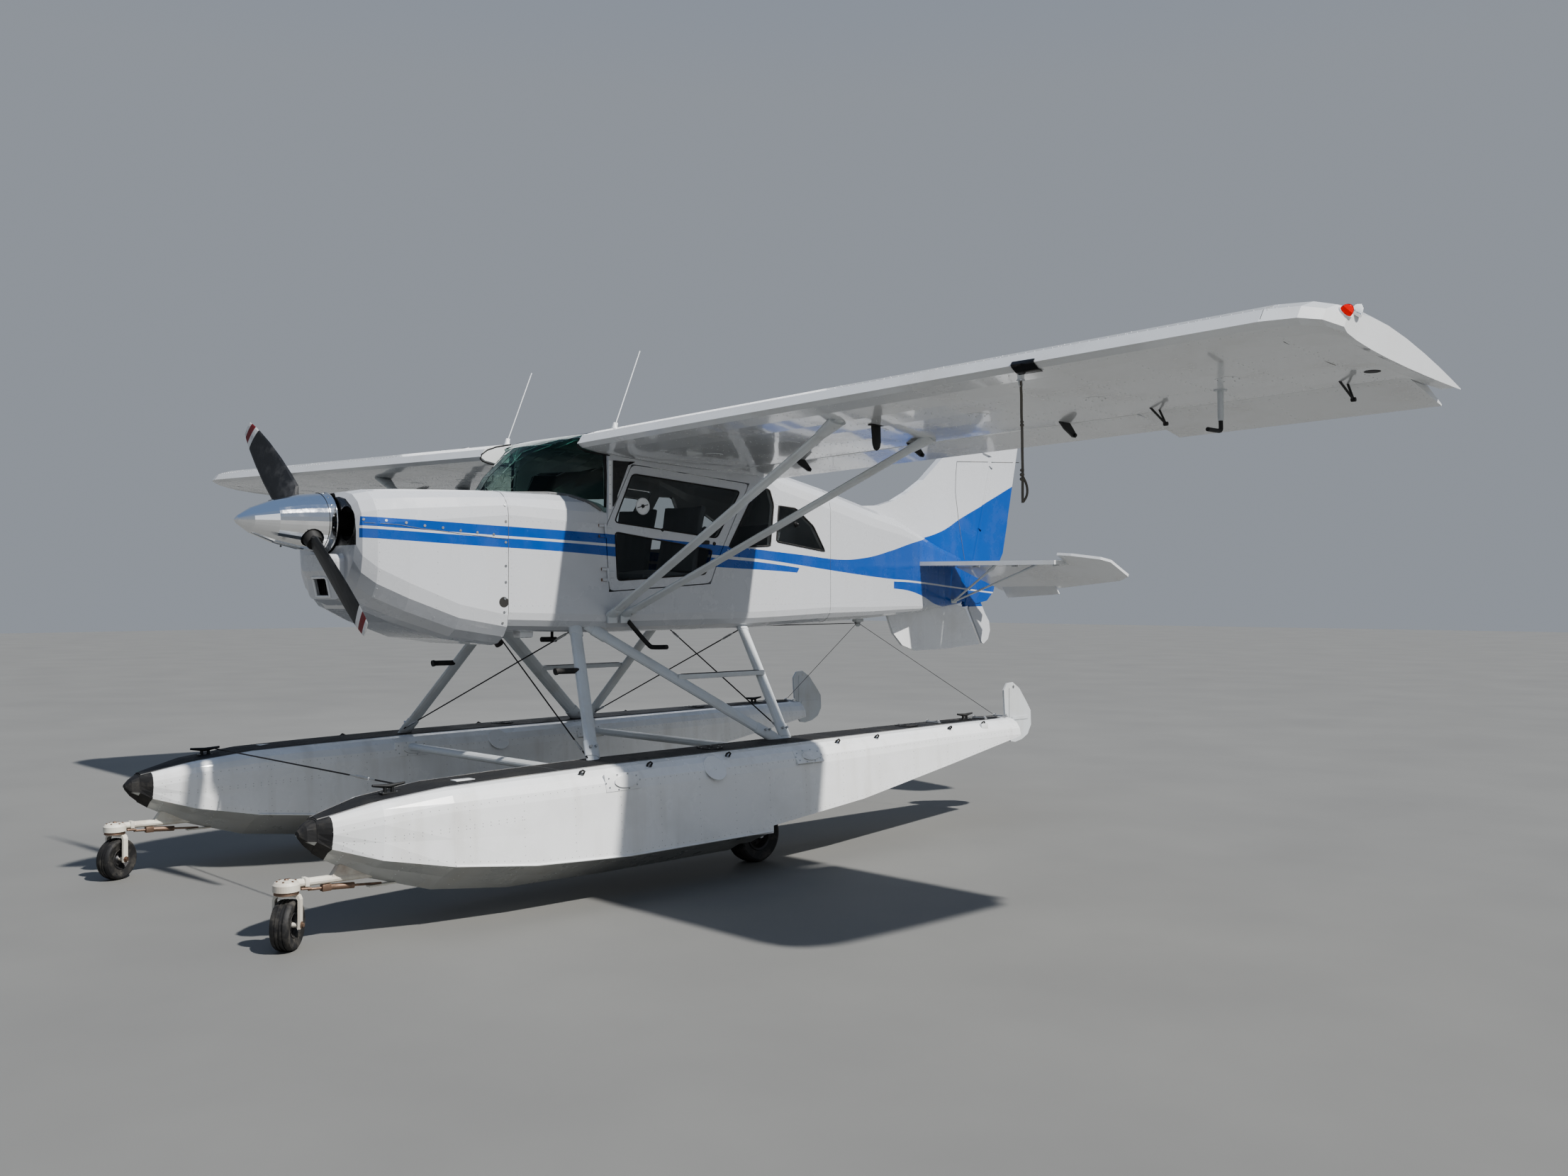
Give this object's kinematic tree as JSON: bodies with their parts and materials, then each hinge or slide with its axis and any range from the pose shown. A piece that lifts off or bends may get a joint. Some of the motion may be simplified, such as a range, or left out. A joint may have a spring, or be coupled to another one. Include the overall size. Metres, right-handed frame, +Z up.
{
  "type": "amphibious floatplane",
  "caption": "High-wing strut-braced light aircraft with a nose propeller, on twin amphibious floats with wheels lowered under each hull.",
  "frame": {"origin": "on the ground, under the centre of the overall box", "axes": "+X to the aircraft's left (port), nose towards -Y, +Z up; wheels stand on z = 0"},
  "size_m": [10.26, 7.5551, 3.2013],
  "materials": {
    "airframe_white": "gloss white enamel",
    "stripe_blue_white": "gloss white enamel with blue stripes",
    "strut_grey": "grey-white enamel, lightly soiled",
    "window_glass": "green-grey tinted acrylic",
    "engine_iron": "dark",
    "spinner_metal": "polished",
    "blade_black": "satin black with white and red tips",
    "float_white": "gloss white topsides, grey bottom, black deck",
    "gear_cream": "cream enamel with rust stains",
    "tyre_black": "matt, worn",
    "trim_black": "matt black",
    "seat_cloth": "woven",
    "rope_fibre": "weathered rope"
  },
  "bodies": {
    "airframe": {"cabin_shell": "stripe_blue_white", "windshield": "window_glass", "rear_window_port": "window_glass", "rear_window_starboard": "window_glass", "quarter_window_port": "window_glass", "quarter_window_starboard": "window_glass", "instrument_panel": "trim_black", "front_seats": "seat_cloth", "rear_bench": "seat_cloth", "cowl": "stripe_blue_white", "engine_block": "engine_iron", "wing_port": "airframe_white", "wing_starboard": "airframe_white", "wing_strut_front_port": "strut_grey", "wing_strut_rear_port": "strut_grey", "wing_strut_front_starboard": "strut_grey", "wing_strut_rear_starboard": "strut_grey", "fin": "stripe_blue_white", "stabilizer": "airframe_white", "tailcone": "stripe_blue_white", "ventral_fin": "airframe_white", "tail_struts_port": "strut_grey", "tail_struts_starboard": "strut_grey", "float_port": "float_white", "float_starboard": "float_white", "main_gear_leg_port": "strut_grey", "main_gear_leg_starboard": "strut_grey", "nose_gear_arm_port": "gear_cream", "nose_gear_arm_starboard": "gear_cream", "float_strut_front_port": "strut_grey", "float_strut_diagonal_port": "strut_grey", "float_strut_rear_port": "strut_grey", "float_strut_front_starboard": "strut_grey", "float_strut_diagonal_starboard": "strut_grey", "float_strut_rear_starboard": "strut_grey", "spreader_bar_front": "strut_grey", "spreader_bar_rear": "strut_grey", "tie_rope_port": "rope_fibre", "tie_rope_starboard": "rope_fibre", "whip_antenna_port": "airframe_white", "whip_antenna_starboard": "airframe_white"},
    "propeller_unit": {"spinner": "spinner_metal", "propeller": "blade_black"},
    "elevator_unit": {"elevator": "airframe_white"},
    "rudder_unit": {"rudder": "stripe_blue_white"},
    "flap_port_unit": {"flap_port": "airframe_white"},
    "aileron_port_unit": {"aileron_port": "airframe_white"},
    "door_port_unit": {"door_port": "stripe_blue_white"},
    "main_wheel_port_unit": {"main_wheel_port": "tyre_black"},
    "nose_fork_port_unit": {"nose_fork_port": "gear_cream"},
    "nose_wheel_port_unit": {"nose_wheel_port": "tyre_black"},
    "water_rudder_port_unit": {"water_rudder_port": "airframe_white"},
    "flap_starboard_unit": {"flap_starboard": "airframe_white"},
    "aileron_starboard_unit": {"aileron_starboard": "airframe_white"},
    "door_starboard_unit": {"door_starboard": "stripe_blue_white"},
    "main_wheel_starboard_unit": {"main_wheel_starboard": "tyre_black"},
    "nose_fork_starboard_unit": {"nose_fork_starboard": "gear_cream"},
    "nose_wheel_starboard_unit": {"nose_wheel_starboard": "tyre_black"},
    "water_rudder_starboard_unit": {"water_rudder_starboard": "airframe_white"}
  },
  "joints": [
    {"name": "propeller_spin", "type": "hinge", "parent": "airframe", "child": "propeller_unit", "pos_m": [0, -3.055, 2.072], "axis": [0, 1, 0], "continuous": true},
    {"name": "elevator_hinge", "type": "hinge", "parent": "airframe", "child": "elevator_unit", "pos_m": [0, 2.765, 1.92], "axis": [1, 0, 0], "range_deg": [-1, 49]},
    {"name": "rudder_hinge", "type": "hinge", "parent": "airframe", "child": "rudder_unit", "pos_m": [0, 2.945, 1.5], "axis": [0, 0.2847, 0.9586], "range_deg": [-24, 24]},
    {"name": "flap_port_hinge", "type": "hinge", "parent": "airframe", "child": "flap_port_unit", "pos_m": [2, -0.379, 2.5639], "axis": [-0.9997, 0, -0.0262], "range_deg": [-6, 34]},
    {"name": "aileron_port_hinge", "type": "hinge", "parent": "airframe", "child": "aileron_port_unit", "pos_m": [4.2, -0.379, 2.62154], "axis": [0.9997, 0, 0.0262], "range_deg": [-5, 38]},
    {"name": "door_port_hinge", "type": "hinge", "parent": "airframe", "child": "door_port_unit", "pos_m": [0.55, -1.348, 1.905], "axis": [0, 0.076, -0.9971], "range_deg": [0, 42]},
    {"name": "main_wheel_port_roll", "type": "hinge", "parent": "airframe", "child": "main_wheel_port_unit", "pos_m": [1.13, -0.653, 0.17], "axis": [1, 0, 0], "continuous": true},
    {"name": "nose_fork_port_swivel", "type": "hinge", "parent": "airframe", "child": "nose_fork_port_unit", "pos_m": [1.13, -3.667, 0.25], "axis": [0, 0, 1], "range_deg": [-99, 11]},
    {"name": "nose_wheel_port_roll", "type": "hinge", "parent": "nose_fork_port_unit", "child": "nose_wheel_port_unit", "pos_m": [1.11958, -3.65621, 0.119], "axis": [0.7193, 0.6947, 0], "continuous": true},
    {"name": "water_rudder_port_lower", "type": "hinge", "parent": "airframe", "child": "water_rudder_port_unit", "pos_m": [1.13, 2.075, 0.59], "axis": [-1, 0, 0], "range_deg": [0, 125]},
    {"name": "flap_starboard_hinge", "type": "hinge", "parent": "airframe", "child": "flap_starboard_unit", "pos_m": [-2, -0.379, 2.5639], "axis": [-0.9997, 0, 0.0262], "range_deg": [-6, 34]},
    {"name": "aileron_starboard_hinge", "type": "hinge", "parent": "airframe", "child": "aileron_starboard_unit", "pos_m": [-4.2, -0.379, 2.62154], "axis": [0.9997, 0, -0.0262], "range_deg": [-5, 38]},
    {"name": "door_starboard_hinge", "type": "hinge", "parent": "airframe", "child": "door_starboard_unit", "pos_m": [-0.55, -1.348, 1.905], "axis": [0, -0.076, 0.9971], "range_deg": [0, 42]},
    {"name": "main_wheel_starboard_roll", "type": "hinge", "parent": "airframe", "child": "main_wheel_starboard_unit", "pos_m": [-1.13, -0.653, 0.17], "axis": [1, 0, 0], "continuous": true},
    {"name": "nose_fork_starboard_swivel", "type": "hinge", "parent": "airframe", "child": "nose_fork_starboard_unit", "pos_m": [-1.13, -3.667, 0.25], "axis": [0, 0, 1], "range_deg": [-83, 27]},
    {"name": "nose_wheel_starboard_roll", "type": "hinge", "parent": "nose_fork_starboard_unit", "child": "nose_wheel_starboard_unit", "pos_m": [-1.13704, -3.65376, 0.119], "axis": [0.8829, 0.4695, 0], "continuous": true},
    {"name": "water_rudder_starboard_lower", "type": "hinge", "parent": "airframe", "child": "water_rudder_starboard_unit", "pos_m": [-1.13, 2.075, 0.59], "axis": [-1, 0, 0], "range_deg": [0, 125]}
  ]
}
